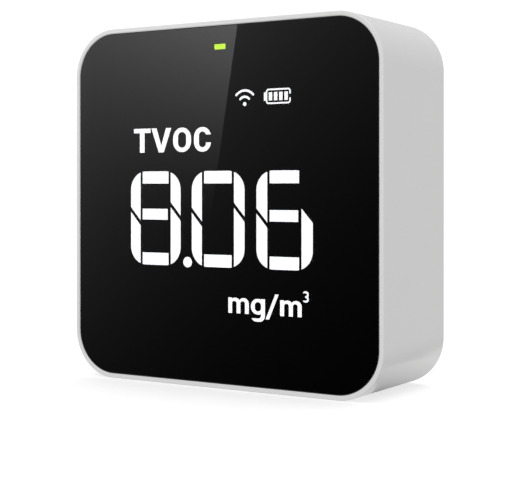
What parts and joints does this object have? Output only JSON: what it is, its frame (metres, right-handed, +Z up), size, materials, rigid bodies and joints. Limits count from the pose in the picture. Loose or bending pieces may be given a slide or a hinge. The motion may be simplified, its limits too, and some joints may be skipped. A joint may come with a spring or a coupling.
{
  "type": "air quality monitor",
  "caption": "Square palm-sized air quality monitor standing on its base, with a black window over a lit digit display, a top button, rear air slots and a charging port.",
  "frame": {"origin": "middle of the base's outline on the surface the monitor stands on, half way through the depth", "axes": "+Z up, -Y out of the display side, +X to the right as seen from the front"},
  "size_m": [0.0812, 0.0304, 0.0813],
  "materials": {
    "battery_foil": "laminated aluminium pouch",
    "black_foam": "black foam tape",
    "black_ink": "opaque black screen-printed ink",
    "black_plastic": "black moulded plastic",
    "black_wire": "black wire insulation",
    "board_green": "green solder mask on glass-epoxy board",
    "brass_bearing": "sintered bronze",
    "ceramic_brown": "brown ceramic",
    "copper_coil": "wound copper on a laminated core",
    "cream_plastic": "cream nylon connector",
    "display_black": "black-faced moulded reflector",
    "led_body": "small lamp chip with clear resin",
    "lime_light": "lime green lit light pipe",
    "red_wire": "red wire insulation",
    "screen_mesh": "blackened woven wire",
    "screw_steel": "zinc-plated steel",
    "tinned_metal": "tin-plated metal",
    "unlit_diffuser": "smoked diffusing resin, off",
    "white_light": "white diffusing resin, lit",
    "white_shell": "satin white moulded plastic, very fine texture",
    "window_glass": "dark smoked clear acrylic, high gloss"
  },
  "bodies": {
    "case": {"battery_cell": "battery_foil", "battery_icon": "white_light", "battery_lead_black": "black_wire", "battery_lead_red": "red_wire", "battery_plug": "cream_plastic", "battery_socket": "cream_plastic", "battery_tape": "black_foam", "board_capacitors": "ceramic_brown", "charge_board": "board_green", "charge_board_screws": "screw_steel", "charge_link_pins": "tinned_metal", "charger_chip": "black_plastic", "decimal_point": "white_light", "digit_left": "white_light", "digit_middle": "white_light", "digit_right": "white_light", "display_board": "board_green", "display_leds": "led_body", "display_pins": "tinned_metal", "display_reflector": "display_black", "dust_screen": "screen_mesh", "fan_bearing": "brass_bearing", "fan_frame": "black_plastic", "fan_stator": "copper_coil", "front_window": "window_glass", "gas_sensor_board": "board_green", "gas_sensor_body": "tinned_metal", "gas_sensor_pins": "tinned_metal", "housing": "white_shell", "indicator_led": "led_body", "indicator_light_pipe": "lime_light", "laser_diode": "tinned_metal", "main_board": "board_green", "main_board_screws": "screw_steel", "microcontroller": "black_plastic", "photodiode": "black_plastic", "quantity_label": "white_light", "rear_cover": "white_shell", "rear_cover_screws": "screw_steel", "sensor_board": "board_green", "sensor_case": "black_plastic", "sensor_gaskets": "black_foam", "sensor_header": "black_plastic", "sensor_lid": "tinned_metal", "sensor_pins": "tinned_metal", "sensor_screws": "screw_steel", "switch_body": "black_plastic", "unit_label": "white_light", "unlit_segments": "unlit_diffuser", "usb_shell": "tinned_metal", "usb_tongue": "black_plastic", "window_adhesive": "black_foam", "window_print": "black_ink", "wireless_board": "board_green", "wireless_icon": "white_light", "wireless_shield": "tinned_metal"},
    "button": {"power_button": "white_shell"},
    "switch_plunger": {"switch_plunger": "black_plastic"},
    "fan_rotor": {"fan_rotor": "black_plastic", "fan_shaft": "screw_steel"}
  },
  "joints": [
    {"name": "button_travel", "type": "slide", "parent": "case", "child": "button", "axis": [0, 0, -1], "range_m": [0, 0.0004], "stiffness_N_per_m": 400, "springref_m": -0.0005},
    {"name": "plunger_travel", "type": "slide", "parent": "case", "child": "switch_plunger", "axis": [0, 0, -1], "range_m": [0, 0.0004]},
    {"name": "fan_spin", "type": "hinge", "parent": "case", "child": "fan_rotor", "pos_m": [-0.019, 0.00814, 0.0585], "axis": [0, 1, 0], "continuous": true}
  ],
  "couplings": [
    {"joint": "plunger_travel", "follows": "button_travel", "ratio": 1}
  ]
}
